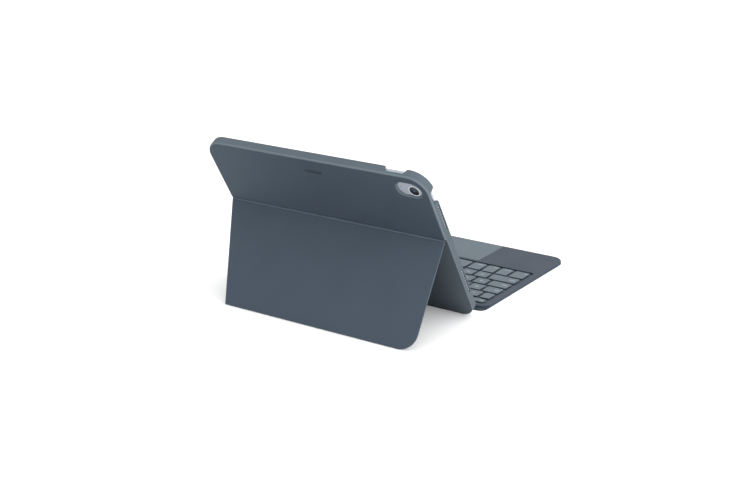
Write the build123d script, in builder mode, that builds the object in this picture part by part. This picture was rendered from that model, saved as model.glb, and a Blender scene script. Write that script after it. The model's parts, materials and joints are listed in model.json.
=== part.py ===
from build123d import *
from math import atan2, cos, degrees, radians, sin, sqrt, tan
import os

# Two-piece keyboard case for a 10.9 inch tablet, standing on its kickstand with the keyboard laid
# out in front.
# Row frame, millimetres: +X to the typist's right, +Y away from the typist, +Z up. The origin is
# the middle of the keyboard's underside, which lies on the table.
# Case parts are modelled flat (X across, Y up the case, Z from its back face to its screen side)
# and then stood up. Kickstand parts are modelled flat about their own hinge axis (Y towards the
# hinge, Z towards the case).

CUT_OVERRUN = 1.0
SAME_PLACE = 0.01

# ---- case -------------------------------------------------------------------
CASE_FOOT_Y = 106.25
CASE_TILT = 59.46
CASE_WIDTH = 256.0
CASE_TOP = 187.1
CASE_BOTTOM = -1.3
CASE_DEPTH = 10.0
CASE_CORNER = 20.0
LOWER_CORNER = 15.0
BACK_WALL = 2.2
UPPER_EDGE_ROUND = 1.9
LOWER_EDGE_ROUND = 3.0
FRONT_EDGE_ROUND = 1.2
RECESS_TOP = 109.2
RECESS_DEPTH = 1.6
SKIN_THICKNESS = 0.4
SKIN_BORDER = 2.3
SKIN_FOOT = 109.5
LINING_THICKNESS = 0.2
LINING_INSET = 6.0

CAMERA_X = -106.5
CAMERA_Y = 169.5
CAMERA_LENGTH = 29.0
CAMERA_HEIGHT = 18.9
CAMERA_TAPER = 36.0

VOLUME_SLOT_FLOOR = 3.3
VOLUME_SLOT_LOW = (-103.6, -84.0)
VOLUME_SLOT_HIGH = (-106.4, -81.0)
BUTTON_SLOT_FLOOR = 5.0
BUTTON_SLOT_LOW = (153.5, 168.5)
BUTTON_SLOT_HIGH = (151.5, 170.5)
BUTTON_SCOOP = 2.5
SPEAKER_MIDS = (46.5, 133.5)
SPEAKER_LENGTH = 32.0
SPEAKER_SLOT_WIDTH = 2.4
SPEAKER_SLOT_DEPTH = 0.9
SPEAKER_DEPTH_IN_CASE = 6.5
SPEAKER_HOLES = 10
SPEAKER_HOLE_PITCH = 3.2
SPEAKER_HOLE_RADIUS = 0.85
PORT_LENGTH = 14.0
PORT_HEIGHT = 6.0

CASE_MAGNET_XS = (-84.0, -42.0, 42.0, 84.0)
CASE_MAGNET_UP_CASE = 0.6
CASE_MAGNET_HEIGHT = 2.0
CASE_MAGNET_DEPTH = 3.6
MAGNET_LENGTH = 24.0
CONTACT_XS = (-5.0, 0.0, 5.0)
CONTACT_RADIUS = 1.1
CONTACT_DEPTH = 0.3

# ---- tablet -----------------------------------------------------------------
TABLET_WIDTH = 248.6
TABLET_HEIGHT = 179.5
TABLET_THICKNESS = 7.0
TABLET_CORNER = 18.3
TABLET_EDGE_ROUND = 1.2
TABLET_MID = 94.45
TABLET_BACK = BACK_WALL + LINING_THICKNESS
TABLET_FRONT = TABLET_BACK + TABLET_THICKNESS
POCKET_CLEARANCE = 0.15
GLASS_THICKNESS = 0.8
GLASS_INSET = 0.4
GLASS_BEVEL = 0.25
TABLET_WALL = 3.0
TABLET_FLOOR = 1.0
DISPLAY_BORDER = 9.5
DISPLAY_THICKNESS = 0.8
DISPLAY_CORNER = 8.0
BATTERY_XS = (-46.0, 46.0)
BATTERY_SIZE = (86.0, 112.0)
BATTERY_THICKNESS = 3.4
BATTERY_BELOW_MID = 8.0
MAIN_BOARD_X = 20.0
MAIN_BOARD_SIZE = (170.0, 24.0)
MAIN_BOARD_THICKNESS = 2.4
MAIN_BOARD_ABOVE_MID = 68.0
INNER_PART_CORNER = 2.0
LENS_X = -111.6
LENS_Y = 168.6
LENS_RING_RADIUS = 6.2
LENS_RADIUS = 5.2
LENS_HEIGHT = 1.1
LENS_RING_ROUND = 0.3
LENS_SETBACK = 0.15
MICROPHONE_X = -97.7
MICROPHONE_Y = 170.6
MICROPHONE_RADIUS = 0.6
MICROPHONE_DEPTH = 0.5
BUTTON_TRAVEL_GAP = 0.35
BUTTON_PROUD = 0.55
BUTTON_SINK = 0.9
VOLUME_BUTTON_LENGTH = 8.6
VOLUME_BUTTON_MIDS = (-98.6, -89.0)
TOP_BUTTON_LENGTH = 13.0
TOP_BUTTON_MID = 161.0
BUTTON_WIDTH = 2.2
BUTTON_BEVEL = 0.2
BUTTON_DEPTH_IN_CASE = 6.6

# ---- kickstand --------------------------------------------------------------
HINGE_UP_CASE = 107.5
HINGE_IN_CASE = 0.25
STAND_OPEN = 60.93
STAND_OUTER = -0.25
STAND_INNER = 1.25
STAND_SKIN = 0.4
STAND_RIGHT = -126.0
STAND_LEFT_AT_HINGE = 127.0
STAND_LEFT_AT_FOOT = 96.0
STAND_CORNER = 17.0
STAND_SIDE_GAP = 0.4
BEAD_RADIUS = 1.05
BEAD_END_GAP = 0.6
SKIN_START = 1.3
STATION_XS = (-84.0, 84.0)
KNUCKLE_LENGTH = 7.8
NOTCH_LENGTH = 8.2
NOTCH_DEPTH = 1.4
PIN_LENGTH = 24.0
PIN_END_GAP = 0.1
PIN_RADIUS = 0.40
PIN_SEAT_RADIUS = 0.41
PIN_BORE_RADIUS = 0.45
LEAF_WIDTH = 17.2
LEAF_BOTTOM = 109.4
LEAF_TOP = 119.8
LEAF_BACK = 0.5
LEAF_THICKNESS = 0.5
LEAF_CLEARANCE = 0.05
LEAF_ARM_BOTTOM = 107.9
LEAF_ARM_OVERLAP = 0.2
RIVET_RADIUS = 0.6
RIVET_SPREAD = 5.5
RIVET_Y = 115.0
RIVET_FRONT = 2.0

# ---- keyboard ---------------------------------------------------------------
DECK_HALF_WIDTH = 128.0
DECK_FRONT = -89.25
DECK_REAR = 84.75
DECK_FRONT_CORNER = 14.0
DECK_REAR_CORNER = 13.0
DECK_TOP = 4.0
DECK_EDGE_ROUND = 1.5
SHEET_TOP = 1.2
SHEET_REAR = 89.25
SHEET_REAR_CORNER = 8.0
SHEET_EDGE_ROUND = 0.35
TONGUE_HALF_WIDTH = 104.0
CAVITY_INSET = 2.6
CAVITY_TOP = 2.9
CAVITY_CORNER = 11.4
BASE_CLEARANCE = 0.2
FIELD_HALF_WIDTH = 122.4
FIELD_FRONT = -28.15
FIELD_REAR = 78.85
FIELD_CORNER = 3.0
BASE_TOP = 1.6
CIRCUIT_TOP = 1.9
KEY_PLATE_TOP = 2.2
PLATE_INSET = 0.6
DOME_RADIUS = 2.0
DOME_TOP_RADIUS = 1.3
DOME_TOP = 2.35
DOME_HOLE_RADIUS = 2.3
LINK_OUTER = (7.2, 6.4)
LINK_INNER = (5.2, 4.7)
LINK_TOP = 2.38
CAP_BOTTOM = 3.45
CAP_TOP = 4.3
CAP_CORNER = 1.5
CAP_CHAMFER = 0.2
CAP_TAPER = 4.0

KEY_UNIT = 17.3
KEY_GAP = 3.2
ROW_REARS = (75.8, 63.8, 46.5, 29.2, 11.9, -5.4)
ROW_DEPTHS = (7.9, 14.1, 14.1, 14.1, 14.1, 18.6)
FUNCTION_WIDTHS = [1.0] * 14
NUMBER_WIDTHS = [0.8] + [1.0] * 12 + [1.2]
Q_WIDTHS = [1.2] + [1.0] * 12 + [0.8]
A_WIDTHS = [1.45] + [1.0] * 11 + [1.55]
Z_WIDTHS = [1.95] + [1.0] * 10 + [2.05]
SPACE_WIDTHS = [1.1, 0.93, 0.95, 1.02, 4.95, 0.97, 1.0, 1.0, 1.04, 1.04]
ROW_WIDTHS = (FUNCTION_WIDTHS, NUMBER_WIDTHS, Q_WIDTHS, A_WIDTHS, Z_WIDTHS, SPACE_WIDTHS)
KEY_SPAN = 14.0 * KEY_UNIT
ARROW_SPLIT = 1.6

PAD_HALF_WIDTH = 52.4
PAD_FRONT = -87.15
PAD_REAR = -31.5
PAD_CORNER = 1.8
PAD_GAP = 0.3
PAD_BEVEL = 0.15
PAD_BOTTOM = 3.2
PAD_BOARD_BOTTOM = 2.4
PAD_BOARD_HALF_WIDTH = 48.0
PAD_BOARD_FRONT = -81.75
PAD_BOARD_REAR = -39.75
SWITCH_RADIUS = 3.0
SWITCH_TOP = 2.0
SWITCH_Y = -63.75
BOARD_X = 88.0
BOARD_Y = -62.75
BOARD_WIDTH = 46.0
BOARD_LENGTH = 34.0
BOARD_TOP = 2.5

# ---- folding spine between case and keyboard --------------------------------
BAR_HALF_WIDTH = 104.0
BAR_TOP = -1.35
BAR_THICKNESS = 1.4
BAR_BACK = 5.0
BAR_FRONT = 9.8
BAR_MAGNET_THICKNESS = 0.8
BAR_MAGNET_DEPTH = 3.0
CONTACT_PIN_RADIUS = 0.8
CONTACT_PIN_COVER = 0.4
FOLD_GAP = 0.3
SPINE_LENGTH = 4.6
SPINE_THICKNESS = 0.8
SPINE_GAP_AT_BAR = 0.9
SPINE_GAP_AT_DECK = 0.7
SHEET_GAP = 0.5


def in_row(up, depth):
    """Row Y and Z of a point that lies `up` the case from its foot and `depth` in from its back face."""
    tilt = radians(CASE_TILT)
    return CASE_FOOT_Y + up * cos(tilt) - depth * sin(tilt), up * sin(tilt) + depth * cos(tilt)


CASE_POSE = Plane(
    origin=(0, CASE_FOOT_Y, 0),
    x_dir=(1, 0, 0),
    z_dir=(0, -sin(radians(CASE_TILT)), cos(radians(CASE_TILT))),
).location
HINGE_Y, HINGE_Z = in_row(HINGE_UP_CASE, HINGE_IN_CASE)
STAND_ANGLE = radians(CASE_TILT + STAND_OPEN)
STAND_POSE = Plane(
    origin=(0, HINGE_Y, HINGE_Z),
    x_dir=(1, 0, 0),
    z_dir=(0, -sin(STAND_ANGLE), cos(STAND_ANGLE)),
).location
# The foot's inner edge rests on the table.
STAND_LENGTH = (HINGE_Z + STAND_INNER * cos(STAND_ANGLE)) / sin(STAND_ANGLE)

BAR_MID = BAR_TOP - BAR_THICKNESS / 2
FOLD_A_Y, FOLD_A_Z = in_row(BAR_MID, BAR_FRONT + FOLD_GAP)
FOLD_B_Z = SHEET_TOP / 2
SPINE_DROP = FOLD_A_Z - FOLD_B_Z
SPINE_RUN = sqrt(SPINE_LENGTH**2 - SPINE_DROP**2)
FOLD_B_Y = FOLD_A_Y - SPINE_RUN
SPINE_SLOPE = atan2(SPINE_DROP, SPINE_RUN)
# The panel's local X points down the slope from the case to the keyboard.
SPINE_POSE = Plane(
    origin=(0, FOLD_A_Y, FOLD_A_Z),
    x_dir=(0, -cos(SPINE_SLOPE), -sin(SPINE_SLOPE)),
    z_dir=(0, -sin(SPINE_SLOPE), cos(SPINE_SLOPE)),
).location


def slab(height, mid, size, radius, depth, mode=Mode.ADD):
    """Extrude one rounded rectangle upwards from `height`."""
    with BuildSketch(Plane.XY.offset(height)) as face:
        with Locations(mid):
            RectangleRounded(size[0], size[1], radius)
    extrude(face.sketch, amount=depth, mode=mode)


def block(height, mid, size, depth, mode=Mode.ADD):
    """Extrude one plain rectangle upwards from `height`."""
    with BuildSketch(Plane.XY.offset(height)) as face:
        with Locations(mid):
            Rectangle(size[0], size[1])
    extrude(face.sketch, amount=depth, mode=mode)


def rod_along_x(start, length, centre, radius, mode=Mode.ADD):
    """Extrude a round rod along X; centre is its Y and Z."""
    with BuildSketch(Plane.YZ.offset(start)) as face:
        with Locations(centre):
            Circle(radius)
    extrude(face.sketch, amount=length, mode=mode)


def save(shape, label, pose=None):
    """Stand the finished shape in the row frame and write it."""
    placed = shape if pose is None else shape.moved(pose)
    placed.label = label
    export_step(placed, f"parts/{label}.step")


# ---- case parts -------------------------------------------------------------
CASE_LENGTH = CASE_TOP - CASE_BOTTOM
CASE_MID = (CASE_TOP + CASE_BOTTOM) / 2
STAND_SLOPE = (STAND_LEFT_AT_HINGE - STAND_LEFT_AT_FOOT) / STAND_LENGTH


def rim_edges(block_edges):
    """Edges of a case half, leaving out the straight cut between the halves."""
    return block_edges.filter_by(lambda e: abs(e.center().Y - RECESS_TOP) > SAME_PLACE)


def build_case_half(below, corner, back_round):
    with BuildPart() as half:
        with BuildSketch(Plane.XY):
            with Locations((0, CASE_MID)):
                RectangleRounded(CASE_WIDTH, CASE_LENGTH, corner)
            cut_mid = RECESS_TOP + (CASE_LENGTH if below else -CASE_LENGTH) / 2
            with Locations((0, cut_mid)):
                Rectangle(2 * CASE_WIDTH, CASE_LENGTH, mode=Mode.SUBTRACT)
        extrude(amount=CASE_DEPTH)
        fillet(rim_edges(half.edges().group_by(Axis.Z)[0]), radius=back_round)
        fillet(rim_edges(half.edges().group_by(Axis.Z)[-1]), radius=FRONT_EDGE_ROUND)
    return half.part


def cut_camera_opening(depth):
    with BuildSketch(Plane.XY) as face:
        with Locations((CAMERA_X, CAMERA_Y)):
            SlotOverall(CAMERA_LENGTH, CAMERA_HEIGHT)
    extrude(face.sketch, amount=depth, taper=CAMERA_TAPER, mode=Mode.SUBTRACT)


def cut_stand_recess():
    left_top = STAND_LEFT_AT_HINGE + STAND_SIDE_GAP + STAND_SLOPE * (RECESS_TOP - HINGE_UP_CASE)
    left_foot = left_top - STAND_SLOPE * (RECESS_TOP - 2 * CASE_BOTTOM)
    with BuildSketch(Plane.XY.offset(-CUT_OVERRUN)) as face:
        with BuildLine():
            Polyline(
                (-CASE_WIDTH, RECESS_TOP),
                (left_top, RECESS_TOP),
                (left_foot, 2 * CASE_BOTTOM),
                (-CASE_WIDTH, 2 * CASE_BOTTOM),
                close=True,
            )
        make_face()
    extrude(face.sketch, amount=CUT_OVERRUN + RECESS_DEPTH, mode=Mode.SUBTRACT)


def cut_button_slots():
    with BuildSketch(Plane.XZ.offset(-CASE_TOP - CUT_OVERRUN)) as face:
        with BuildLine():
            Polyline(
                (VOLUME_SLOT_LOW[0], VOLUME_SLOT_FLOOR),
                (VOLUME_SLOT_LOW[1], VOLUME_SLOT_FLOOR),
                (VOLUME_SLOT_HIGH[1], CASE_DEPTH + CUT_OVERRUN),
                (VOLUME_SLOT_HIGH[0], CASE_DEPTH + CUT_OVERRUN),
                close=True,
            )
        make_face()
    extrude(face.sketch, amount=CASE_TOP + CUT_OVERRUN - TABLET_MID, mode=Mode.SUBTRACT)
    with BuildSketch(Plane.YZ.offset(-CASE_WIDTH / 2 - CUT_OVERRUN)) as face:
        with BuildLine():
            Polyline(
                (BUTTON_SLOT_LOW[0], BUTTON_SLOT_FLOOR),
                (BUTTON_SLOT_LOW[1], BUTTON_SLOT_FLOOR),
                (BUTTON_SLOT_HIGH[1], CASE_DEPTH + CUT_OVERRUN),
                (BUTTON_SLOT_HIGH[0], CASE_DEPTH + CUT_OVERRUN),
                close=True,
            )
        make_face()
    extrude(face.sketch, amount=CASE_WIDTH / 4, mode=Mode.SUBTRACT)


def cut_button_scoop():
    """Thins the side wall beside the top button, so that a finger reaches it."""
    outside = -CASE_WIDTH / 2
    with BuildSketch(Plane.XZ.offset(-BUTTON_SLOT_LOW[0])) as face:
        with BuildLine():
            Polyline(
                (outside - CUT_OVERRUN, BUTTON_SLOT_FLOOR - BUTTON_SCOOP - CUT_OVERRUN),
                (outside + BUTTON_SCOOP, BUTTON_SLOT_FLOOR),
                (outside + BUTTON_SCOOP, CASE_DEPTH + CUT_OVERRUN),
                (outside - CUT_OVERRUN, CASE_DEPTH + CUT_OVERRUN),
                close=True,
            )
        make_face()
    extrude(face.sketch, amount=BUTTON_SLOT_LOW[0] - BUTTON_SLOT_LOW[1], mode=Mode.SUBTRACT)


def cut_speaker_row(side, mid, wall, slot_depth):
    """A shallow slot with a row of round holes through one side wall; side is -1 or 1."""
    outside = side * CASE_WIDTH / 2
    inward = -side
    with BuildSketch(Plane.YZ.offset(outside)) as face:
        with Locations((mid, SPEAKER_DEPTH_IN_CASE)):
            SlotOverall(SPEAKER_LENGTH, SPEAKER_SLOT_WIDTH)
    extrude(face.sketch, amount=inward * slot_depth, mode=Mode.SUBTRACT)
    with BuildSketch(Plane.YZ.offset(outside)) as face:
        with Locations((mid, SPEAKER_DEPTH_IN_CASE)):
            with GridLocations(SPEAKER_HOLE_PITCH, 0, SPEAKER_HOLES, 1):
                Circle(SPEAKER_HOLE_RADIUS)
    extrude(face.sketch, amount=inward * wall, mode=Mode.SUBTRACT)


def cut_port(depth):
    with BuildSketch(Plane.YZ.offset(CASE_WIDTH / 2 + CUT_OVERRUN)) as face:
        with Locations((TABLET_MID, TABLET_BACK + TABLET_THICKNESS / 2)):
            SlotOverall(PORT_LENGTH, PORT_HEIGHT)
    extrude(face.sketch, amount=-depth, mode=Mode.SUBTRACT)


def build_case_shell(lower, upper):
    pocket = (TABLET_WIDTH + 2 * POCKET_CLEARANCE, TABLET_HEIGHT + 2 * POCKET_CLEARANCE)
    side_wall = (CASE_WIDTH - pocket[0]) / 2
    with BuildPart() as shell:
        add(lower)
        add(upper)
        slab(BACK_WALL, (0, TABLET_MID), pocket, TABLET_CORNER, CASE_DEPTH, Mode.SUBTRACT)
        cut_camera_opening(BACK_WALL + SAME_PLACE)
        cut_stand_recess()
        cut_button_slots()
        cut_button_scoop()
        for side in (-1, 1):
            for mid in SPEAKER_MIDS:
                cut_speaker_row(side, mid, side_wall + CUT_OVERRUN, SPEAKER_SLOT_DEPTH)
        cut_port(side_wall + 2 * CUT_OVERRUN)
        cut_skin_seat()
        for x in STATION_XS:
            leaf_mid = (LEAF_TOP + RECESS_TOP) / 2 + LEAF_CLEARANCE
            leaf_size = (LEAF_WIDTH + 4 * LEAF_CLEARANCE, LEAF_TOP - RECESS_TOP + 2 * LEAF_CLEARANCE)
            block(SKIN_THICKNESS, (x, leaf_mid), leaf_size, LEAF_BACK + LEAF_THICKNESS - SKIN_THICKNESS,
                  Mode.SUBTRACT)
            for offset in (-RIVET_SPREAD, RIVET_SPREAD):
                drill(x + offset, RIVET_Y, LEAF_BACK, RIVET_FRONT, RIVET_RADIUS)
        for x in CASE_MAGNET_XS:
            case_magnet(x, Mode.SUBTRACT)
        cut_contact_seats()
    return shell.part


def drill(x, y, bottom, top, radius, mode=Mode.SUBTRACT):
    with BuildSketch(Plane.XY.offset(bottom)) as face:
        with Locations((x, y)):
            Circle(radius)
    extrude(face.sketch, amount=top - bottom, mode=mode)


def skin_outline():
    """Outline of the upper back skin, on the active sketch."""
    width = CASE_WIDTH - 2 * SKIN_BORDER
    length = 2 * (CASE_TOP - SKIN_BORDER - SKIN_FOOT)
    with Locations((0, SKIN_FOOT)):
        RectangleRounded(width, length, CASE_CORNER - SKIN_BORDER)
    with Locations((0, SKIN_FOOT - length / 2)):
        Rectangle(2 * width, length, mode=Mode.SUBTRACT)


def cut_skin_seat():
    with BuildSketch(Plane.XY) as face:
        skin_outline()
    extrude(face.sketch, amount=SKIN_THICKNESS, mode=Mode.SUBTRACT)


def cut_contact_seats():
    for x in CONTACT_XS:
        contact_disc(x, Mode.SUBTRACT)


def contact_disc(x, mode=Mode.ADD):
    with BuildSketch(Plane.XZ.offset(-CASE_BOTTOM)) as face:
        with Locations((x, (BAR_BACK + BAR_FRONT) / 2)):
            Circle(CONTACT_RADIUS)
    extrude(face.sketch, amount=-CONTACT_DEPTH, mode=mode)


def build_back_skin():
    with BuildPart() as skin:
        with BuildSketch(Plane.XY):
            skin_outline()
        extrude(amount=SKIN_THICKNESS)
        cut_camera_opening(SKIN_THICKNESS)
    return skin.part


def build_pocket_lining():
    width = TABLET_WIDTH - 2 * LINING_INSET
    height = TABLET_HEIGHT - 2 * LINING_INSET
    shrink = 2 * BACK_WALL * tan(radians(CAMERA_TAPER))
    with BuildPart() as lining:
        slab(BACK_WALL, (0, TABLET_MID), (width, height), TABLET_CORNER - LINING_INSET, LINING_THICKNESS)
        with BuildSketch(Plane.XY.offset(BACK_WALL)):
            with Locations((CAMERA_X, CAMERA_Y)):
                SlotOverall(CAMERA_LENGTH - shrink, CAMERA_HEIGHT - shrink)
        extrude(amount=LINING_THICKNESS, mode=Mode.SUBTRACT)
    return lining.part


def build_hinge_leaves():
    with BuildPart() as leaves:
        for x in STATION_XS:
            block(LEAF_BACK, (x, (LEAF_TOP + LEAF_BOTTOM) / 2), (LEAF_WIDTH, LEAF_TOP - LEAF_BOTTOM),
                  LEAF_THICKNESS)
            arm_length = LEAF_BOTTOM - LEAF_ARM_BOTTOM + LEAF_ARM_OVERLAP
            arm_mid = LEAF_ARM_BOTTOM + arm_length / 2
            block(LEAF_BACK, (x, arm_mid), (KNUCKLE_LENGTH, arm_length), LEAF_THICKNESS)
            centre = (HINGE_UP_CASE, HINGE_IN_CASE)
            rod_along_x(x - KNUCKLE_LENGTH / 2, KNUCKLE_LENGTH, centre, BEAD_RADIUS)
            rod_along_x(x - KNUCKLE_LENGTH / 2, KNUCKLE_LENGTH, centre, PIN_BORE_RADIUS, Mode.SUBTRACT)
            for offset in (-RIVET_SPREAD, RIVET_SPREAD):
                drill(x + offset, RIVET_Y, LEAF_BACK, LEAF_BACK + LEAF_THICKNESS, RIVET_RADIUS)
    return leaves.part


def build_hinge_rivets():
    with BuildPart() as rivets:
        for x in STATION_XS:
            for offset in (-RIVET_SPREAD, RIVET_SPREAD):
                drill(x + offset, RIVET_Y, LEAF_BACK, RIVET_FRONT, RIVET_RADIUS, Mode.ADD)
    return rivets.part


def case_magnet(x, mode=Mode.ADD):
    block(CASE_DEPTH / 2, (x, CASE_MAGNET_UP_CASE), (MAGNET_LENGTH, CASE_MAGNET_HEIGHT), CASE_MAGNET_DEPTH,
          mode)


def build_case_magnets():
    with BuildPart() as magnets:
        for x in CASE_MAGNET_XS:
            case_magnet(x)
    return magnets.part


def build_contact_pads():
    with BuildPart() as pads:
        for x in CONTACT_XS:
            contact_disc(x)
    return pads.part


# ---- kickstand parts --------------------------------------------------------
def stand_face(start):
    """The flap's outline from `start` below the hinge axis down to its foot, on the active sketch."""
    left_start = STAND_LEFT_AT_HINGE - STAND_SLOPE * start
    with BuildLine() as outline:
        Polyline(
            (STAND_RIGHT, -start),
            (left_start, -start),
            (STAND_LEFT_AT_FOOT, -STAND_LENGTH),
            (STAND_RIGHT + STAND_CORNER, -STAND_LENGTH),
        )
        RadiusArc(
            (STAND_RIGHT + STAND_CORNER, -STAND_LENGTH),
            (STAND_RIGHT, -STAND_LENGTH + STAND_CORNER),
            STAND_CORNER,
        )
        Line((STAND_RIGHT, -STAND_LENGTH + STAND_CORNER), (STAND_RIGHT, -start))
    make_face(outline.edges())


def build_stand_skin(bottom):
    with BuildPart() as skin:
        with BuildSketch(Plane.XY.offset(bottom)):
            stand_face(SKIN_START)
        extrude(amount=STAND_SKIN)
    return skin.part


def build_stand_plate():
    bead_start = STAND_RIGHT + BEAD_END_GAP
    bead_length = STAND_LEFT_AT_HINGE - BEAD_END_GAP - bead_start
    plate_bottom = STAND_OUTER + STAND_SKIN
    plate_top = STAND_INNER - STAND_SKIN
    with BuildPart() as plate:
        with BuildSketch(Plane.XY.offset(plate_bottom)):
            stand_face(0)
        extrude(amount=plate_top - plate_bottom)
        rod_along_x(bead_start, bead_length, (0, 0), BEAD_RADIUS)
        for x in STATION_XS:
            block(-BEAD_RADIUS, (x, 0), (NOTCH_LENGTH, 2 * NOTCH_DEPTH), 3 * BEAD_RADIUS, Mode.SUBTRACT)
            rod_along_x(x - PIN_LENGTH / 2, PIN_LENGTH, (0, 0), PIN_SEAT_RADIUS, Mode.SUBTRACT)
    return plate.part


def build_hinge_pins():
    with BuildPart() as pins:
        for x in STATION_XS:
            rod_along_x(x - PIN_LENGTH / 2 + PIN_END_GAP, PIN_LENGTH - 2 * PIN_END_GAP, (0, 0), PIN_RADIUS)
    return pins.part


# ---- tablet parts -----------------------------------------------------------
TABLET_TOP_EDGE = TABLET_MID + TABLET_HEIGHT / 2
TABLET_SIDE_EDGE = -TABLET_WIDTH / 2
GLASS_BACK = TABLET_FRONT - GLASS_THICKNESS
BUTTON_SEAT = BUTTON_SINK + BUTTON_TRAVEL_GAP


def top_edge_box(mid_x, length, width, low, high, mode=Mode.ADD):
    """A rounded key in the tablet's top edge, between two heights measured up the case."""
    with BuildSketch(Plane.XZ.offset(-low)) as face:
        with Locations((mid_x, BUTTON_DEPTH_IN_CASE)):
            SlotOverall(length, width)
    extrude(face.sketch, amount=-(high - low), mode=mode)


def side_edge_box(mid_y, length, width, low, high, mode=Mode.ADD):
    """A rounded key in the tablet's left edge, between two X positions."""
    with BuildSketch(Plane.YZ.offset(low)) as face:
        with Locations((mid_y, BUTTON_DEPTH_IN_CASE)):
            SlotOverall(length, width)
    extrude(face.sketch, amount=high - low, mode=mode)


def build_tablet_housing():
    slack = 2 * POCKET_CLEARANCE
    inner = (TABLET_WIDTH - 2 * TABLET_WALL, TABLET_HEIGHT - 2 * TABLET_WALL)
    with BuildPart() as housing:
        slab(TABLET_BACK, (0, TABLET_MID), (TABLET_WIDTH, TABLET_HEIGHT), TABLET_CORNER,
             GLASS_BACK - TABLET_BACK)
        fillet(housing.edges().group_by(Axis.Z)[0], radius=TABLET_EDGE_ROUND)
        slab(TABLET_BACK + TABLET_FLOOR, (0, TABLET_MID), inner, TABLET_CORNER - TABLET_WALL,
             TABLET_THICKNESS, Mode.SUBTRACT)
        for x in VOLUME_BUTTON_MIDS:
            top_edge_box(x, VOLUME_BUTTON_LENGTH + slack, BUTTON_WIDTH + slack,
                         TABLET_TOP_EDGE - BUTTON_SEAT, TABLET_TOP_EDGE + CUT_OVERRUN, Mode.SUBTRACT)
        side_edge_box(TOP_BUTTON_MID, TOP_BUTTON_LENGTH + slack, BUTTON_WIDTH + slack,
                      TABLET_SIDE_EDGE - CUT_OVERRUN, TABLET_SIDE_EDGE + BUTTON_SEAT, Mode.SUBTRACT)
        for side in (-1, 1):
            for mid in SPEAKER_MIDS:
                cut_speaker_holes(side, mid)
        cut_port((CASE_WIDTH - inner[0]) / 2 + 2 * CUT_OVERRUN)
        drill(LENS_X, LENS_Y, TABLET_BACK, TABLET_BACK + TABLET_FLOOR, LENS_RADIUS)
        drill(MICROPHONE_X, MICROPHONE_Y, TABLET_BACK, TABLET_BACK + MICROPHONE_DEPTH, MICROPHONE_RADIUS)
    return housing.part


def cut_speaker_holes(side, mid):
    with BuildSketch(Plane.YZ.offset(side * CASE_WIDTH / 2)) as face:
        with Locations((mid, SPEAKER_DEPTH_IN_CASE)):
            with GridLocations(SPEAKER_HOLE_PITCH, 0, SPEAKER_HOLES, 1):
                Circle(SPEAKER_HOLE_RADIUS)
    reach = (CASE_WIDTH - TABLET_WIDTH) / 2 + TABLET_WALL + CUT_OVERRUN
    extrude(face.sketch, amount=-side * reach, mode=Mode.SUBTRACT)


def build_tablet_glass():
    size = (TABLET_WIDTH - 2 * GLASS_INSET, TABLET_HEIGHT - 2 * GLASS_INSET)
    with BuildPart() as glass:
        slab(GLASS_BACK, (0, TABLET_MID), size, TABLET_CORNER - GLASS_INSET, GLASS_THICKNESS)
        chamfer(glass.edges().group_by(Axis.Z)[-1], length=GLASS_BEVEL)
    return glass.part


def build_tablet_display():
    size = (TABLET_WIDTH - 2 * DISPLAY_BORDER, TABLET_HEIGHT - 2 * DISPLAY_BORDER)
    with BuildPart() as display:
        slab(GLASS_BACK - DISPLAY_THICKNESS, (0, TABLET_MID), size, DISPLAY_CORNER, DISPLAY_THICKNESS)
    return display.part


def build_tablet_battery():
    with BuildPart() as battery:
        for x in BATTERY_XS:
            slab(TABLET_BACK + TABLET_FLOOR, (x, TABLET_MID - BATTERY_BELOW_MID), BATTERY_SIZE,
                 INNER_PART_CORNER, BATTERY_THICKNESS)
    return battery.part


def build_tablet_board():
    with BuildPart() as board:
        slab(TABLET_BACK + TABLET_FLOOR, (MAIN_BOARD_X, TABLET_MID + MAIN_BOARD_ABOVE_MID), MAIN_BOARD_SIZE,
             INNER_PART_CORNER, MAIN_BOARD_THICKNESS)
    return board.part


def build_camera_ring():
    with BuildPart() as ring:
        drill(LENS_X, LENS_Y, TABLET_BACK - LENS_HEIGHT, TABLET_BACK, LENS_RING_RADIUS, Mode.ADD)
        fillet(ring.edges().group_by(Axis.Z)[0], radius=LENS_RING_ROUND)
        drill(LENS_X, LENS_Y, TABLET_BACK - LENS_HEIGHT, TABLET_BACK, LENS_RADIUS)
    return ring.part


def build_camera_lens():
    with BuildPart() as lens:
        drill(LENS_X, LENS_Y, TABLET_BACK - LENS_HEIGHT + LENS_SETBACK, TABLET_BACK + TABLET_FLOOR,
              LENS_RADIUS, Mode.ADD)
    return lens.part


def build_volume_button(mid_x):
    with BuildPart() as button:
        top_edge_box(mid_x, VOLUME_BUTTON_LENGTH, BUTTON_WIDTH, TABLET_TOP_EDGE - BUTTON_SINK,
                     TABLET_TOP_EDGE + BUTTON_PROUD)
        chamfer(button.edges().group_by(Axis.Y)[-1], length=BUTTON_BEVEL)
    return button.part


def build_top_button():
    with BuildPart() as button:
        side_edge_box(TOP_BUTTON_MID, TOP_BUTTON_LENGTH, BUTTON_WIDTH, TABLET_SIDE_EDGE - BUTTON_PROUD,
                      TABLET_SIDE_EDGE + BUTTON_SINK)
        chamfer(button.edges().group_by(Axis.X)[0], length=BUTTON_BEVEL)
    return button.part


# ---- folding spine parts ----------------------------------------------------
def build_connector_bar():
    with BuildPart() as bar:
        block(BAR_BACK, (0, BAR_MID), (2 * BAR_HALF_WIDTH, BAR_THICKNESS), BAR_FRONT - BAR_BACK)
        for x in CASE_MAGNET_XS:
            bar_magnet(x, Mode.SUBTRACT)
        for x in CONTACT_XS:
            contact_pin(x, Mode.SUBTRACT)
    return bar.part


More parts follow.
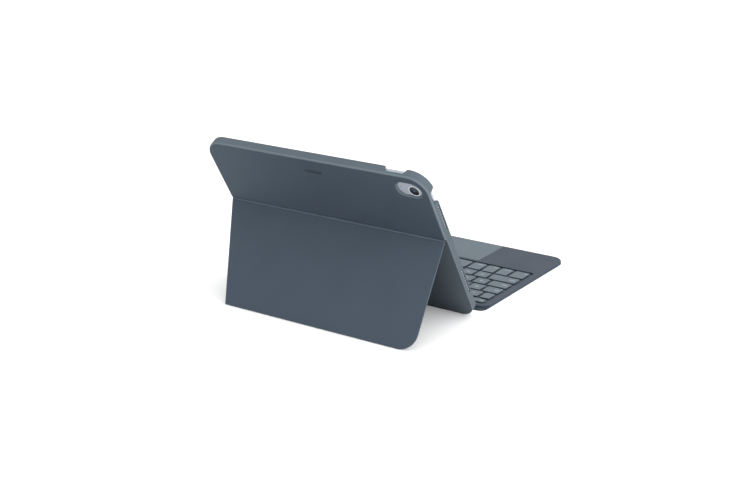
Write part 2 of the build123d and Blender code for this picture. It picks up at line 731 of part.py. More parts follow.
def bar_magnet(x, mode=Mode.ADD):
    mid_depth = (BAR_BACK + BAR_FRONT) / 2
    block(mid_depth - BAR_MAGNET_DEPTH / 2, (x, BAR_MID), (MAGNET_LENGTH, BAR_MAGNET_THICKNESS),
          BAR_MAGNET_DEPTH, mode)


def contact_pin(x, mode=Mode.ADD):
    with BuildSketch(Plane.XZ.offset(-BAR_TOP)) as face:
        with Locations((x, (BAR_BACK + BAR_FRONT) / 2)):
            Circle(CONTACT_PIN_RADIUS)
    extrude(face.sketch, amount=BAR_THICKNESS - CONTACT_PIN_COVER, mode=mode)


def build_connector_magnets():
    with BuildPart() as magnets:
        for x in CASE_MAGNET_XS:
            bar_magnet(x)
    return magnets.part


def build_connector_pins():
    with BuildPart() as pins:
        for x in CONTACT_XS:
            contact_pin(x)
    return pins.part


def build_spine_panel():
    start = SPINE_GAP_AT_BAR
    end = SPINE_LENGTH - SPINE_GAP_AT_DECK
    with BuildPart() as spine:
        block(-SPINE_THICKNESS / 2, ((start + end) / 2, 0), (end - start, 2 * BAR_HALF_WIDTH),
              SPINE_THICKNESS)
    return spine.part


# ---- keyboard parts ---------------------------------------------------------
def deck_face(front, rear, half_width, front_corner, rear_corner):
    """A plate outline with its own front and rear corner radii, on the active sketch."""
    with BuildLine() as outline:
        Polyline(
            (-half_width, rear - rear_corner),
            (-half_width, front + front_corner),
        )
        RadiusArc((-half_width, front + front_corner), (-half_width + front_corner, front), -front_corner)
        Line((-half_width + front_corner, front), (half_width - front_corner, front))
        RadiusArc((half_width - front_corner, front), (half_width, front + front_corner), -front_corner)
        Line((half_width, front + front_corner), (half_width, rear - rear_corner))
        RadiusArc((half_width, rear - rear_corner), (half_width - rear_corner, rear), -rear_corner)
        Line((half_width - rear_corner, rear), (-half_width + rear_corner, rear))
        RadiusArc((-half_width + rear_corner, rear), (-half_width, rear - rear_corner), -rear_corner)
    make_face(outline.edges())


def middle(low, high):
    return (low + high) / 2


def build_bottom_sheet():
    with BuildPart() as sheet:
        with BuildSketch(Plane.XY):
            deck_face(DECK_FRONT, SHEET_REAR, DECK_HALF_WIDTH, DECK_FRONT_CORNER, SHEET_REAR_CORNER)
            tongue_rear = FOLD_B_Y - SHEET_GAP
            tongue_front = DECK_REAR
            with Locations((0, middle(tongue_front, tongue_rear))):
                Rectangle(2 * TONGUE_HALF_WIDTH, tongue_rear - tongue_front)
        extrude(amount=SHEET_TOP)
        fillet(sheet.edges().group_by(Axis.Z)[0], radius=SHEET_EDGE_ROUND)
    return sheet.part


def build_deck_frame():
    inner_half = DECK_HALF_WIDTH - CAVITY_INSET
    with BuildPart() as frame:
        with BuildSketch(Plane.XY.offset(SHEET_TOP)):
            deck_face(DECK_FRONT, DECK_REAR, DECK_HALF_WIDTH, DECK_FRONT_CORNER, DECK_REAR_CORNER)
        extrude(amount=DECK_TOP - SHEET_TOP)
        fillet(frame.edges().group_by(Axis.Z)[-1], radius=DECK_EDGE_ROUND)
        with BuildSketch(Plane.XY.offset(SHEET_TOP)):
            deck_face(DECK_FRONT + CAVITY_INSET, DECK_REAR - CAVITY_INSET, inner_half, CAVITY_CORNER,
                      CAVITY_CORNER)
        extrude(amount=CAVITY_TOP - SHEET_TOP, mode=Mode.SUBTRACT)
        field = (2 * FIELD_HALF_WIDTH, FIELD_REAR - FIELD_FRONT)
        slab(SHEET_TOP, (0, middle(FIELD_FRONT, FIELD_REAR)), field, FIELD_CORNER, DECK_TOP, Mode.SUBTRACT)
        opening = (2 * (PAD_HALF_WIDTH + PAD_GAP), PAD_REAR - PAD_FRONT + 2 * PAD_GAP)
        slab(SHEET_TOP, (0, middle(PAD_FRONT, PAD_REAR)), opening, PAD_CORNER + PAD_GAP, DECK_TOP,
             Mode.SUBTRACT)
    return frame.part


def build_base_plate():
    inset = CAVITY_INSET + BASE_CLEARANCE
    with BuildPart() as base:
        with BuildSketch(Plane.XY.offset(SHEET_TOP)):
            deck_face(DECK_FRONT + inset, DECK_REAR - inset, DECK_HALF_WIDTH - inset, CAVITY_CORNER,
                      CAVITY_CORNER)
        extrude(amount=BASE_TOP - SHEET_TOP)
    return base.part


def row_boundaries(widths):
    """Left edge of each key's cell, ending with the right edge of the last."""
    edges = [-KEY_SPAN / 2]
    for width in widths:
        edges.append(edges[-1] + width * KEY_UNIT)
    return edges


def key_cells(row):
    """(mid x, mid y, width, depth) of every key cell in one row."""
    edges = row_boundaries(ROW_WIDTHS[row])
    mid_y = ROW_REARS[row] - ROW_DEPTHS[row] / 2
    return [
        (middle(left, right), mid_y, right - left - KEY_GAP, ROW_DEPTHS[row])
        for left, right in zip(edges, edges[1:])
    ]


def split_cell(cell, upper):
    """The upper or lower half of a key cell."""
    x, y, width, depth = cell
    half = (depth - ARROW_SPLIT) / 2
    shift = (half + ARROW_SPLIT) / 2
    return (x, y + shift if upper else y - shift, width, half)


FUNCTION_ROW, NUMBER_ROW, Q_ROW, A_ROW, Z_ROW, SPACE_ROW = [key_cells(row) for row in range(6)]
KEY_GROUPS = {
    "key_escape": FUNCTION_ROW[:1],
    "function_keys": FUNCTION_ROW[1:],
    "number_keys": NUMBER_ROW[:-1],
    "key_delete": NUMBER_ROW[-1:],
    "key_tab": Q_ROW[:1],
    "q_row_keys": Q_ROW[1:],
    "key_caps_lock": A_ROW[:1],
    "a_row_keys": A_ROW[1:-1],
    "key_return": A_ROW[-1:],
    "key_shift_left": Z_ROW[:1],
    "z_row_keys": Z_ROW[1:-1],
    "key_shift_right": Z_ROW[-1:],
    "key_function": SPACE_ROW[0:1],
    "key_control": SPACE_ROW[1:2],
    "key_option_left": SPACE_ROW[2:3],
    "key_command_left": SPACE_ROW[3:4],
    "key_space": SPACE_ROW[4:5],
    "key_command_right": SPACE_ROW[5:6],
    "key_option_right": SPACE_ROW[6:7],
    "key_arrow_left": SPACE_ROW[7:8],
    "key_arrow_up": [split_cell(SPACE_ROW[8], True)],
    "key_arrow_down": [split_cell(SPACE_ROW[8], False)],
    "key_arrow_right": SPACE_ROW[9:10],
}
ALL_KEYS = [cell for cells in KEY_GROUPS.values() for cell in cells]
KEY_CENTRES = [(cell[0], cell[1]) for cell in ALL_KEYS]


def build_key_circuit():
    size = (2 * (FIELD_HALF_WIDTH - PLATE_INSET), FIELD_REAR - FIELD_FRONT - 2 * PLATE_INSET)
    with BuildPart() as circuit:
        block(BASE_TOP, (0, middle(FIELD_FRONT, FIELD_REAR)), size, CIRCUIT_TOP - BASE_TOP)
    return circuit.part


def build_key_plate():
    size = (2 * (FIELD_HALF_WIDTH - PLATE_INSET), FIELD_REAR - FIELD_FRONT - 2 * PLATE_INSET)
    with BuildPart() as plate:
        with BuildSketch(Plane.XY.offset(CIRCUIT_TOP)):
            with Locations((0, middle(FIELD_FRONT, FIELD_REAR))):
                Rectangle(size[0], size[1])
            with Locations(KEY_CENTRES):
                Circle(DOME_HOLE_RADIUS, mode=Mode.SUBTRACT)
        extrude(amount=KEY_PLATE_TOP - CIRCUIT_TOP)
    return plate.part


def build_rubber_domes():
    height = DOME_TOP - CIRCUIT_TOP
    with BuildPart() as domes:
        with BuildSketch(Plane.XY.offset(CIRCUIT_TOP)):
            with Locations(KEY_CENTRES):
                Circle(DOME_RADIUS)
        extrude(amount=height, taper=degrees(atan2(DOME_RADIUS - DOME_TOP_RADIUS, height)))
    return domes.part


def build_scissor_links():
    with BuildPart() as links:
        with BuildSketch(Plane.XY.offset(KEY_PLATE_TOP)):
            with Locations(KEY_CENTRES):
                Rectangle(LINK_OUTER[0], LINK_OUTER[1])
            with Locations(KEY_CENTRES):
                Rectangle(LINK_INNER[0], LINK_INNER[1], mode=Mode.SUBTRACT)
        extrude(amount=LINK_TOP - KEY_PLATE_TOP)
    return links.part


def build_keycaps(cells):
    with BuildPart() as caps:
        with BuildSketch(Plane.XY.offset(CAP_BOTTOM)):
            for x, y, width, depth in cells:
                with Locations((x, y)):
                    RectangleRounded(width, depth, CAP_CORNER)
        extrude(amount=CAP_TOP - CAP_BOTTOM, taper=CAP_TAPER)
        chamfer(caps.edges().group_by(Axis.Z)[-1], length=CAP_CHAMFER)
    return caps.part


def build_controller_board():
    with BuildPart() as board:
        block(BASE_TOP, (BOARD_X, BOARD_Y), (BOARD_WIDTH, BOARD_LENGTH), BOARD_TOP - BASE_TOP)
    return board.part


def build_trackpad():
    with BuildPart() as pad:
        slab(PAD_BOTTOM, (0, middle(PAD_FRONT, PAD_REAR)), (2 * PAD_HALF_WIDTH, PAD_REAR - PAD_FRONT),
             PAD_CORNER, DECK_TOP - PAD_BOTTOM)
        chamfer(pad.edges().group_by(Axis.Z)[-1], length=PAD_BEVEL)
    return pad.part


def build_trackpad_board():
    size = (2 * PAD_BOARD_HALF_WIDTH, PAD_BOARD_REAR - PAD_BOARD_FRONT)
    with BuildPart() as board:
        block(PAD_BOARD_BOTTOM, (0, middle(PAD_BOARD_FRONT, PAD_BOARD_REAR)), size,
              PAD_BOTTOM - PAD_BOARD_BOTTOM)
    return board.part


def build_trackpad_switch():
    with BuildPart() as switch:
        drill(0, SWITCH_Y, BASE_TOP, SWITCH_TOP, SWITCH_RADIUS, Mode.ADD)
    return switch.part


os.makedirs("parts", exist_ok=True)

lower_half = build_case_half(True, LOWER_CORNER, LOWER_EDGE_ROUND)
upper_half = build_case_half(False, CASE_CORNER, UPPER_EDGE_ROUND)
save(build_case_shell(lower_half, upper_half), "case_shell", CASE_POSE)
save(build_back_skin(), "back_skin", CASE_POSE)
save(build_pocket_lining(), "pocket_lining", CASE_POSE)
save(build_hinge_leaves(), "hinge_leaves", CASE_POSE)
save(build_hinge_rivets(), "hinge_rivets", CASE_POSE)
save(build_case_magnets(), "case_magnets", CASE_POSE)
save(build_contact_pads(), "contact_pads", CASE_POSE)

save(build_stand_plate(), "kickstand_plate", STAND_POSE)
save(build_stand_skin(STAND_OUTER), "kickstand_outer_skin", STAND_POSE)
save(build_stand_skin(STAND_INNER - STAND_SKIN), "kickstand_inner_skin", STAND_POSE)
save(build_hinge_pins(), "hinge_pins", STAND_POSE)

save(build_tablet_housing(), "tablet_housing", CASE_POSE)
save(build_tablet_glass(), "tablet_glass", CASE_POSE)
save(build_tablet_display(), "tablet_display", CASE_POSE)
save(build_tablet_battery(), "tablet_battery", CASE_POSE)
save(build_tablet_board(), "tablet_board", CASE_POSE)
save(build_camera_ring(), "camera_ring", CASE_POSE)
save(build_camera_lens(), "camera_lens", CASE_POSE)
save(build_volume_button(VOLUME_BUTTON_MIDS[0]), "volume_up", CASE_POSE)
save(build_volume_button(VOLUME_BUTTON_MIDS[1]), "volume_down", CASE_POSE)
save(build_top_button(), "top_button", CASE_POSE)

save(build_connector_bar(), "connector_bar", CASE_POSE)
save(build_connector_magnets(), "connector_magnets", CASE_POSE)
save(build_connector_pins(), "connector_pins", CASE_POSE)
save(build_spine_panel(), "spine_panel", SPINE_POSE)

save(build_bottom_sheet(), "bottom_sheet")
save(build_base_plate(), "base_plate")
save(build_deck_frame(), "deck_frame")
save(build_key_circuit(), "key_circuit")
save(build_key_plate(), "key_plate")
save(build_rubber_domes(), "rubber_domes")
save(build_scissor_links(), "scissor_links")
save(build_controller_board(), "controller_board")
save(build_trackpad(), "trackpad")
save(build_trackpad_board(), "trackpad_board")
save(build_trackpad_switch(), "trackpad_switch")
for name, cells in KEY_GROUPS.items():
    save(build_keycaps(cells), name)
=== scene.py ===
import json
import math

import bmesh
import bpy
from mathutils import Matrix, Vector

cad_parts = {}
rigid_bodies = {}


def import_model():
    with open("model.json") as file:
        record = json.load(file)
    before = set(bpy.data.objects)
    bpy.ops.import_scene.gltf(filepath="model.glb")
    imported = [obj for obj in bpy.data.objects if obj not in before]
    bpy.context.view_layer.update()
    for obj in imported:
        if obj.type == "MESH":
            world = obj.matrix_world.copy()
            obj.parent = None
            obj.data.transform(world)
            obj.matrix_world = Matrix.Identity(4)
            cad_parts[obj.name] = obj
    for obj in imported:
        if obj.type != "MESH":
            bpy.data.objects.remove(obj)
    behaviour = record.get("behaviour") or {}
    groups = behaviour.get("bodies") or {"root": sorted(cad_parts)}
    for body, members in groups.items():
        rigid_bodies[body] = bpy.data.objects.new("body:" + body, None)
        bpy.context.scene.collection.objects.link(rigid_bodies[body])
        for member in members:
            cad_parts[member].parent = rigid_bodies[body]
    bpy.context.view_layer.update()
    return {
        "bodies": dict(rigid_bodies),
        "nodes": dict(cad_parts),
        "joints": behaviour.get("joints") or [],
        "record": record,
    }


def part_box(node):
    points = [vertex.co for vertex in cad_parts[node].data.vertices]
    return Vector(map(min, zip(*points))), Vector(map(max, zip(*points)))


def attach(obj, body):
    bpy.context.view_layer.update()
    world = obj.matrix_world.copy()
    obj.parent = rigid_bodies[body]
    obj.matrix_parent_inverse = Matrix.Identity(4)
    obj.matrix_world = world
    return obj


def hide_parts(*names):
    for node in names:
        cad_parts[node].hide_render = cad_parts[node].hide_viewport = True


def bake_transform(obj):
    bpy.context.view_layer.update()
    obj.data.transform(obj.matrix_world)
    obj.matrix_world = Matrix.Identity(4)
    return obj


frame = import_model()
MM = 0.001
ACROSS = Vector((1, 0, 0))
UPRIGHT = Vector((0, 0, 1))

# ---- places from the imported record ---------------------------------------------
JOINTS = {joint["name"]: joint for joint in frame["joints"]}
MOUNTS = {mount["name"]: mount for mount in frame["record"]["mounts"]}
SCREENWARD = Vector(JOINTS["lift_out_tablet"]["axis"]).normalized()
UP_CASE = -Vector(JOINTS["press_volume_up"]["axis"]).normalized()
POCKET_UP_CASE = 94.45 * MM
POCKET_DEPTH = 2.4 * MM
CASE_FOOT = (
    Vector(MOUNTS["tablet_pocket"]["pos_m"])
    - POCKET_UP_CASE * UP_CASE
    - POCKET_DEPTH * SCREENWARD
)
FOLD_AT_CASE = Vector(JOINTS["fold_keyboard"]["pos_m"])
FOLD_AT_DECK = Vector(JOINTS["fold_keyboard_rear"]["pos_m"])


def on_case(x, up, depth):
    """Row-frame point from a place on the case: across, up from its foot, in from its back face."""
    return CASE_FOOT + x * ACROSS + up * UP_CASE + depth * SCREENWARD


# ---- node materials ------------------------------------------------------------
def linear(code):
    """Scene-linear colour of an sRGB hex code."""
    channels = [int(code[i : i + 2], 16) / 255 for i in (0, 2, 4)]
    return tuple(
        c / 12.92 if c <= 0.04045 else ((c + 0.055) / 1.055) ** 2.4 for c in channels
    ) + (1.0,)


class Graph:
    """The node tree of a material or world, built by naming each node's settings and sockets."""

    def __init__(self, name, kind="materials", shader="Principled BSDF"):
        self.owner = getattr(bpy.data, kind).new(name)
        self.owner.use_nodes = True
        self.nodes = self.owner.node_tree.nodes
        self.links = self.owner.node_tree.links
        self.shader = self.nodes[shader]

    def put(self, node, sockets):
        """Links or sets a node's inputs, named with _ for a space or by their number."""
        for key, value in sockets.items():
            socket = node.inputs[key if isinstance(key, int) else key.replace("_", " ")]
            if isinstance(value, bpy.types.NodeSocket):
                self.links.new(value, socket)
            else:
                socket.default_value = value

    def node(self, kind, settings=None, **sockets):
        """A new shader node with its settings and inputs."""
        made = self.nodes.new("ShaderNode" + kind)
        for key, value in (settings or {}).items():
            setattr(made, key, value)
        self.put(made, sockets)
        return made

    def coordinates(self):
        return self.node("TexCoord").outputs["Object"]

    def own_normal(self):
        """The surface normal in the part's own frame, so that it turns with the part."""
        return self.node("TexCoord").outputs["Normal"]

    def noise(self, size, detail=3.0, roughness=0.55, vector=None):
        """Smooth noise whose lumps are about `size` metres across."""
        vector = vector or self.coordinates()
        made = self.node("TexNoise", Vector=vector, Scale=1 / size, Detail=detail, Roughness=roughness)
        return made.outputs["Fac"]

    def cells(self, size, feature="F1"):
        made = self.node(
            "TexVoronoi", {"feature": feature}, Vector=self.coordinates(), Scale=1 / size
        )
        return made.outputs["Distance"]

    def math(self, operation, first, second=0.0, third=0.0):
        made = self.node("Math", {"operation": operation})
        self.put(made, {0: first, 1: second, 2: third})
        return made.outputs[0]

    def along(self, vector, axis, origin=(0, 0, 0)):
        """How far a vector socket reaches along an axis, from an origin."""
        dot = self.node("VectorMath", {"operation": "DOT_PRODUCT"})
        self.put(dot, {0: vector, 1: tuple(axis)})
        return self.math("SUBTRACT", dot.outputs["Value"], Vector(origin).dot(axis))

    def distance(self, vector, point):
        """How far a vector socket is from a point."""
        gap = self.node("VectorMath", {"operation": "DISTANCE"})
        self.put(gap, {0: vector, 1: tuple(point)})
        return gap.outputs["Value"]

    def spread(self, value, low, high, out_low=0.0, out_high=1.0):
        """A value's range from low to high stretched to another range, and held at its ends."""
        ends = {"From_Min": low, "From_Max": high, "To_Min": out_low, "To_Max": out_high}
        return self.node("MapRange", Value=value, **ends).outputs["Result"]

    def mix(self, share, first, second):
        made = self.node("Mix", {"data_type": "RGBA"})
        self.put(made, {0: share, 6: first, 7: second})
        return made.outputs[2]

    def paint(self, body, colour, *masks):
        """A colour socket with another colour laid over it where all the masks are 1."""
        share = masks[0]
        for mask in masks[1:]:
            share = self.math("MULTIPLY", share, mask)
        return self.mix(share, body, linear(colour))

    def between(self, value, low, high):
        """1 where a value lies between two others, 0 elsewhere."""
        return self.math("COMPARE", value, (low + high) / 2, (high - low) / 2)

    def within(self, low, high):
        """1 inside an upright shaft over the rectangle between two corners, 0 outside."""
        split = self.node("SeparateXYZ", Vector=self.coordinates())
        inside = [
            self.between(split.outputs[axis], near, far)
            for axis, near, far in (("X", low.x, high.x), ("Y", low.y, high.y))
        ]
        return self.math("MULTIPLY", *inside)

    def edges(self, radius):
        """(rounded normal, mask that is 1 along edges) for edges of about this radius."""
        rounded = self.node("Bevel", {"samples": 6}, Radius=radius).outputs["Normal"]
        flat = self.node("NewGeometry").outputs["Normal"]
        dot = self.node("VectorMath", {"operation": "DOT_PRODUCT"})
        self.put(dot, {0: rounded, 1: flat})
        mask = self.spread(dot.outputs["Value"], EDGE_SHARP, EDGE_FLAT, 1.0, 0.0)
        return rounded, mask

    def bump(self, height, distance, normal=None):
        sockets = {"Height": height, "Distance": distance}
        if normal is not None:
            sockets["Normal"] = normal
        return self.node("Bump", **sockets).outputs["Normal"]

    def finish(self, **sockets):
        """Sets the shader's inputs and hands back the material or world."""
        self.put(self.shader, sockets)
        return self.owner


EDGE_SHARP = 0.78
EDGE_FLAT = 0.995
BLOTCH = 46 * MM
DUST = 0.16 * MM
DUST_SHARE = 0.35
WEAR_AND_HIGHLIGHT_SHARE = 0.5


def moulded_surface(g, grain, edge_radius, colour, shade):
    """(edge normal, edge mask for wear and painted highlight, dust, height, blotched colour) shared by
    all moulded materials.
    """
    normal, wear_and_highlight = g.edges(edge_radius)
    pebble = g.cells(grain, "SMOOTH_F1")
    dust = g.noise(DUST, detail=2.0)
    blotch = g.spread(g.noise(BLOTCH, detail=4.0), 0.35, 0.65)
    height = g.math("ADD", pebble, g.math("MULTIPLY", dust, DUST_SHARE))
    return normal, wear_and_highlight, dust, height, g.mix(blotch, linear(colour), linear(shade))


def soft_touch(
    name,
    colour,
    shade,
    edge,
    grain=0.45 * MM,
    relief=0.03 * MM,
    roughness=0.62,
    edge_radius=0.5 * MM,
    sides=None,
    hollow=None,
    painted_light_across=None,
):
    """Moulded polymer or laminate: fine pebble grain, faint blotches, edges painted lighter as wear and
    as a highlight.

    sides, when given, is the colour of painted shade on the faces that stand upright;
    hollow is (low corner, high corner, colour) of a well whose walls get that colour as their own
    painted shade;
    the last argument, when given, is (colour, x where it begins, x where it is full) of painted light,
    a slow lightening across the part."""
    g = Graph(name)
    normal, wear_and_highlight, dust, height, body = moulded_surface(g, grain, edge_radius, colour, shade)
    # painted light: the part lightens slowly across X
    if painted_light_across:
        lit_colour, begins, ends = painted_light_across
        body = g.paint(body, lit_colour, g.spread(g.along(g.coordinates(), ACROSS), begins, ends))
    # painted shade: upright faces, and the walls of a given well, darker than the faces that look up
    if sides:
        wall = linear(sides)
        if hollow:
            low, high, hollow_colour = hollow
            wall = g.paint(wall, hollow_colour, g.within(low, high))
        facing = g.along(g.own_normal(), UPRIGHT)
        body = g.mix(g.spread(facing, 0.3, 0.85), wall, body)
    body = g.paint(body, edge, g.spread(dust, 0.35, 0.7, 0.0, 0.14))
    # painted highlight and wear: the edge colour laid along convex edges
    body = g.paint(body, edge, wear_and_highlight, WEAR_AND_HIGHLIGHT_SHARE)
    return g.finish(
        Base_Color=body,
        Roughness=g.spread(dust, 0.3, 0.7, roughness - 0.06, roughness + 0.08),
        Normal=g.bump(height, relief, normal),
        Specular_IOR_Level=0.2,
    )


CAMERA_HOLE = (-106.5 * MM, 169.5 * MM)
CAMERA_HOLE_REACH = 15.5 * MM
SLOT_FLOOR_REACH = (127.04 * MM, 127.2 * MM)
SPEAKER_HOLE_REACH = (123.5 * MM, 127.04 * MM)
SPEAKER_DEPTH = (5.15 * MM, 7.85 * MM)
SPEAKER_ROWS_MIDDLE = 90 * MM
SPEAKER_ROW_FROM_MIDDLE = (26.5 * MM, 60.5 * MM)
SEAM_DEPTH = 0.3 * MM
RECESS_TOP = 109.2 * MM
RECESS_FLOOR = (1.5 * MM, 1.7 * MM)
RECESS_SHADE_FROM = 94 * MM
RECESS_SHADE_TO = 120 * MM
RECESS_SHADE = 0.55
RIM_GRAIN = 0.45 * MM
RIM_RELIEF = 0.025 * MM
RIM_EDGE = 0.6 * MM


def speaker_light_and_shade(g, body, reach, depth, up, backward):
    """Painted highlight on the slot floors, painted shade in the holes and on the far wall, in the two
    slots of each side.
    """
    from_middle = g.math("ABSOLUTE", g.math("SUBTRACT", up, SPEAKER_ROWS_MIDDLE))
    across_row = g.between(depth, *SPEAKER_DEPTH)
    row = g.math("MULTIPLY", across_row, g.between(from_middle, *SPEAKER_ROW_FROM_MIDDLE))
    # painted highlight on the slot floor between the holes
    body = g.paint(body, "a0aab4", row, g.between(reach, *SLOT_FLOOR_REACH), 0.9)
    # painted shade in the holes
    body = g.paint(body, "0c1014", row, g.between(reach, *SPEAKER_HOLE_REACH))
    # painted shade on the far wall of each slot
    outside = g.math("GREATER_THAN", reach, SLOT_FLOOR_REACH[1])
    return g.paint(body, "1b2228", row, outside, g.math("GREATER_THAN", backward, 0.3))


def case_rim():
    """The shell's polymer: a painted highlight along its rounded back edge, painted shade in the seam
    round the skin, in the recess behind the stand and in the speaker holes."""
    g = Graph("rim")
    normal, wear_and_highlight, dust, height, body = moulded_surface(g, RIM_GRAIN, RIM_EDGE, "535e66", "4d5860")
    place = g.coordinates()
    reach = g.math("ABSOLUTE", g.along(place, ACROSS))
    up = g.along(place, UP_CASE, CASE_FOOT)
    depth = g.along(place, SCREENWARD, CASE_FOOT)
    backward = g.along(g.own_normal(), -SCREENWARD)
    from_camera = g.distance(place, on_case(*CAMERA_HOLE, 0))
    at_camera = g.math("LESS_THAN", from_camera, CAMERA_HOLE_REACH)
    # painted highlight along the rounded back edge, fainter round the camera opening
    fillet_highlight = g.spread(backward, 0.05, 0.5)
    not_flat = g.spread(backward, 0.85, 0.99, 1.0, 0.0)
    body = g.paint(body, "76838b", fillet_highlight, not_flat, g.spread(at_camera, 0, 1, 0.5, 0.3))
    flat = g.spread(backward, 0.99, 0.998)
    above = g.math("GREATER_THAN", up, RECESS_TOP)
    # painted shade: a dark strip on the flat border round the skin, standing for the shade in a groove
    body = g.paint(body, "29333d", g.math("LESS_THAN", depth, SEAM_DEPTH), above, flat, 0.8)
    # painted shade on the recess floor behind the stand, darkest away from the side edges
    shaded = g.spread(reach, RECESS_SHADE_FROM, RECESS_SHADE_TO, RECESS_SHADE, 0.0)
    body = g.paint(body, "2a3339", g.between(depth, *RECESS_FLOOR), flat, shaded)
    # painted highlight and wear along the rim's edges
    body = g.paint(body, "74828a", wear_and_highlight, 0.3)
    body = speaker_light_and_shade(g, body, reach, depth, up, backward)
    return g.finish(
        Base_Color=body,
        Roughness=g.spread(dust, 0.3, 0.7, 0.54, 0.66),
        Normal=g.bump(height, RIM_RELIEF, normal),
        Specular_IOR_Level=0.25,
    )


FUZZ = 0.2 * MM
WEAVE_RELIEF = 0.05 * MM


def woven(name, colour, shade, pitch=0.5 * MM):
    """Fine basket weave with fuzz, for the lining and the folding fabric."""
    g = Graph(name)
    split = g.node("SeparateXYZ", Vector=g.coordinates())
    along = g.math("ADD", split.outputs["Y"], split.outputs["Z"])
    warp = g.math("SINE", g.math("MULTIPLY", split.outputs["X"], math.tau / pitch))
    weft = g.math("SINE", g.math("MULTIPLY", along, math.tau / pitch))
    weave = g.math("MULTIPLY", warp, weft)
    fuzz = g.noise(FUZZ)
    body = g.mix(g.spread(weave, -1.0, 1.0), linear(shade), linear(colour))
    body = g.mix(g.spread(fuzz, 0.3, 0.75, 0.0, 0.3), body, linear(colour))
    height = g.math("ADD", g.math("MULTIPLY", weave, 0.5), fuzz)
    return g.finish(
        Base_Color=body,
        Roughness=0.85,
        Normal=g.bump(height, WEAVE_RELIEF),
        Sheen_Weight=0.3,
        Sheen_Roughness=0.4,
        Specular_IOR_Level=0.2,
    )


METAL_EDGE = 0.2 * MM
METAL_CLOUD = 18 * MM
METAL_RELIEF = 0.004 * MM


def metal(name, colour, roughness=0.32, streak=None, grain=0.08 * MM, metallic=0.85):
    """Blasted metal, or brushed along X when streak gives the length of a streak."""
    g = Graph(name)
    normal, wear_and_highlight = g.edges(METAL_EDGE)
    vector = g.coordinates()
    if streak:
        stretch = g.node("VectorMath", {"operation": "MULTIPLY"})
        g.put(stretch, {0: vector, 1: (grain / streak, 1.0, 1.0)})
        vector = stretch.outputs["Vector"]
    tooth = g.noise(grain, detail=2.0, vector=vector)
    cloud = g.spread(g.noise(METAL_CLOUD), 0.3, 0.7, 0.0, 0.12)
    body = g.mix(cloud, linear(colour), linear("5c6068"))
    # painted highlight and wear: edges lighter
    body = g.paint(body, "e2e6ea", wear_and_highlight, 0.4)
    return g.finish(
        Base_Color=body,
        Metallic=metallic,
        Roughness=g.spread(tooth, 0.3, 0.7, roughness - 0.05, roughness + 0.12),
        Normal=g.bump(tooth, METAL_RELIEF, normal),
    )


POLISHED_EDGE = 0.25 * MM
POLISHED_SMEAR = 30 * MM


def polished(name, colour, roughness=0.08, coat=1.0):
    """Polished dark surface with faint smears that break up its reflection."""
    g = Graph(name)
    normal, wear_and_highlight = g.edges(POLISHED_EDGE)
    smear = g.noise(POLISHED_SMEAR, detail=6.0, roughness=0.7)
    # painted highlight along the edges
    body = g.paint(linear(colour), "3a4048", wear_and_highlight, 0.5)
    return g.finish(
        Base_Color=body,
        Roughness=g.spread(smear, 0.35, 0.75, roughness, roughness + 0.12),
        Normal=normal,
        Coat_Weight=coat,
        Coat_Roughness=0.03,
    )


ZIGZAG = 0.9 * MM
TRACK_PITCH = 1.3 * MM
TRACK_EDGE = (0.5 * MM, 0.56 * MM)
TRACK_RELIEF = 0.03 * MM
PAD_APART = 5.5 * MM


def circuit(name, colour, copper):
    """Solder mask over faint zigzag tracks, with small gold pads."""
    g = Graph(name)
    split = g.node("SeparateXYZ", Vector=g.coordinates())
    zigzag = g.math("PINGPONG", split.outputs["X"], ZIGZAG)
    lanes = g.math("PINGPONG", g.math("ADD", split.outputs["Y"], zigzag), TRACK_PITCH)
    track = g.spread(lanes, *TRACK_EDGE)
    pads = g.spread(g.cells(PAD_APART), 0.08, 0.1, 1.0, 0.0)
    body = g.paint(linear(colour), copper, track, 0.5)
    body = g.paint(body, "c9a24c", pads)
    return g.finish(
        Base_Color=body,
        Metallic=g.math("MULTIPLY", pads, 0.9),
        Roughness=0.35,
        Normal=g.bump(track, TRACK_RELIEF),
    )


RUBBER_DUST = 0.3 * MM
RUBBER_RELIEF = 0.02 * MM


def rubber(name, colour):
    """Matt rubber with a paler bloom on its high spots."""
    g = Graph(name)
    dust = g.noise(RUBBER_DUST, detail=4.0)
    body = g.mix(g.spread(dust, 0.3, 0.7, 0.0, 0.35), linear(colour), linear("9a9fa3"))
    return g.finish(
        Base_Color=body,
        Roughness=0.7,
        Subsurface_Weight=0.15,
        Subsurface_Radius=(MM, MM, MM),
        Normal=g.bump(dust, RUBBER_RELIEF),
    )


SCREEN_SMEAR = 26 * MM
SCREEN_EDGE = 0.2 * MM


def screen_glass():
    """Black cover glass: the picture area is a shade lighter than the border printed round it."""
    g = Graph("screen_glass")
    low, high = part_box("tablet_display")
    split = g.node("SeparateXYZ", Vector=g.coordinates())
    inside = [
        g.between(split.outputs[axis], near, far)
        for axis, near, far in (("X", low.x, high.x), ("Z", low.z, high.z))
    ]
    smear = g.noise(SCREEN_SMEAR, detail=6.0, roughness=0.7)
    return g.finish(
        Base_Color=g.paint(linear("08080a"), "14161a", *inside),
        Roughness=g.spread(smear, 0.35, 0.75, 0.05, 0.16),
        Specular_IOR_Level=0.4,
        Coat_Weight=0.15,
        Coat_Roughness=0.02,
        Normal=g.edges(SCREEN_EDGE)[0],
    )


LENS_RING_PITCH = 1.1 * MM
LENS_GLINT = (0.4 * MM, 1.7 * MM)


